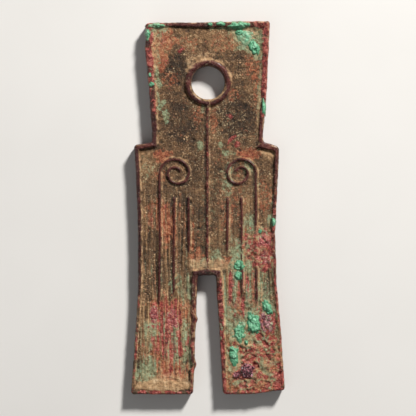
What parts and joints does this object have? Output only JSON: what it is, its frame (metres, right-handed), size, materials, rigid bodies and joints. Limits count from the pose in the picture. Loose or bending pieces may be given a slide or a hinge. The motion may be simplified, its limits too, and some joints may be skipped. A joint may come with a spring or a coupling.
{
  "type": "spade money coin",
  "caption": "Flat bronze spade-shaped coin with a pierced rectangular head, square shoulders, splayed legs, raised rims and scroll lines, and mineral crusts on its face.",
  "frame": {"origin": "under the middle of the outline, on the plane of the back rims, with the coin lying on its back", "axes": "+X to the right leg's side, +Y from the feet to the head, +Z out of the face"},
  "size_m": [0.0236, 0.0578, 0.0028],
  "materials": {
    "bronze": "worn dark brown patina, satin on the rims and matt in the fields",
    "malachite": "rough, grape-like, bright green",
    "cuprite": "rough, purple-red, glittering where it is crystalline"
  },
  "bodies": {
    "root": {"bronze_casting": "bronze", "malachite_top_edge": "malachite", "malachite_left_corner": "malachite", "malachite_right_corner": "malachite", "malachite_head_edges": "malachite", "malachite_side_nodules": "malachite", "malachite_slot_root": "malachite", "malachite_leg_outer": "malachite", "malachite_leg_middle": "malachite", "malachite_leg_inner": "malachite", "malachite_foot_inner": "malachite", "cuprite_waist": "cuprite", "cuprite_leg_outer": "cuprite", "cuprite_foot_crystals": "cuprite", "cuprite_left_leg": "cuprite"}
  },
  "joints": []
}
